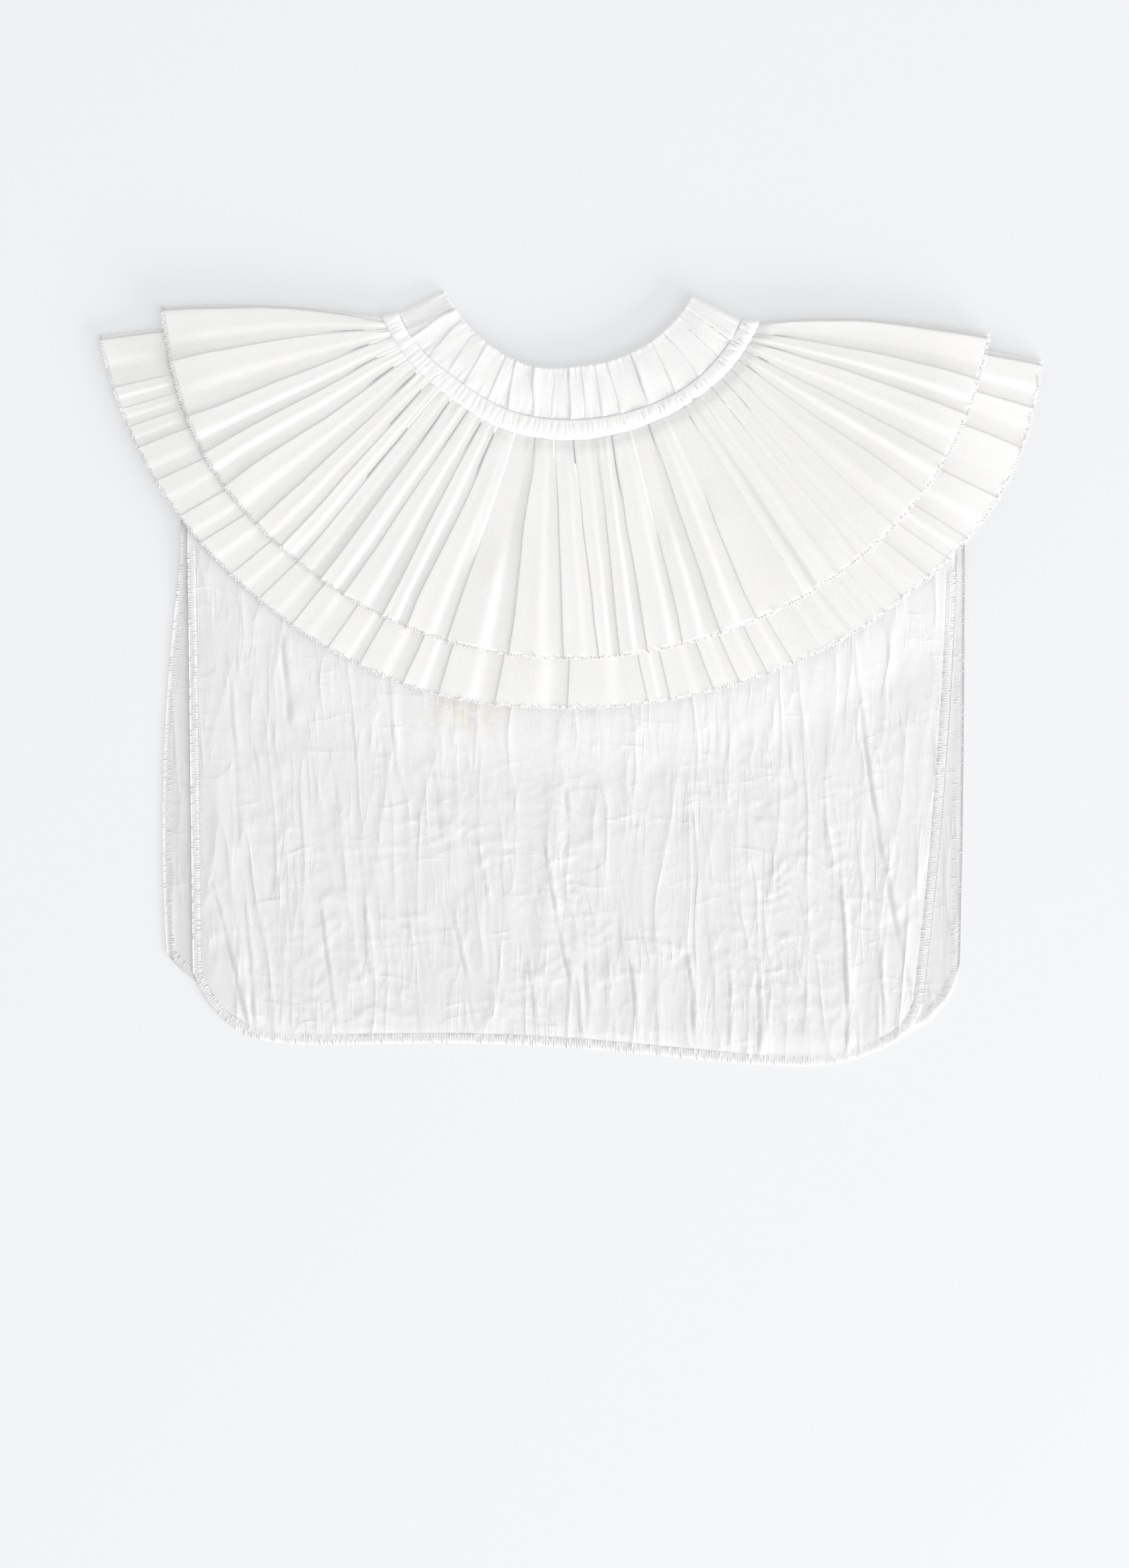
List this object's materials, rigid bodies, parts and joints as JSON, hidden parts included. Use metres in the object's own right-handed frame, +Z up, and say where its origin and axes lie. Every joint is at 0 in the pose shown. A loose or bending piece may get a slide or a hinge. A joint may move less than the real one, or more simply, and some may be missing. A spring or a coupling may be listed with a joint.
{
  "type": "pleated cotton collar on a bib",
  "caption": "White cotton dickey lying flat, with two knife-pleated tiers, a gathered stand band and crinkled front and back bibs.",
  "frame": {"origin": "under the middle of the collar's box, on the surface that it lies on", "axes": "+X to the right of the picture, across the collar; +Y towards the neck; +Z up out of the front"},
  "size_m": [0.524, 0.4316, 0.0124],
  "materials": {
    "neck_band_cotton": "soft gathered white cotton, matt",
    "neck_casing_cotton": "finely gathered white cotton over elastic, matt",
    "upper_tier_cotton": "pressed white cotton in knife pleats, matt, with an overlocked hem",
    "lower_tier_cotton": "pressed white cotton in knife pleats, matt, with an overlocked hem",
    "front_bib_cotton": "thin crinkled white cotton, matt, with overlocked edges",
    "back_bib_cotton": "thin crinkled white cotton, matt, with overlocked edges"
  },
  "bodies": {
    "root": {"neck_band": "neck_band_cotton", "neck_casing": "neck_casing_cotton", "upper_tier": "upper_tier_cotton", "lower_tier": "lower_tier_cotton", "front_bib": "front_bib_cotton", "back_bib": "back_bib_cotton"}
  },
  "joints": []
}
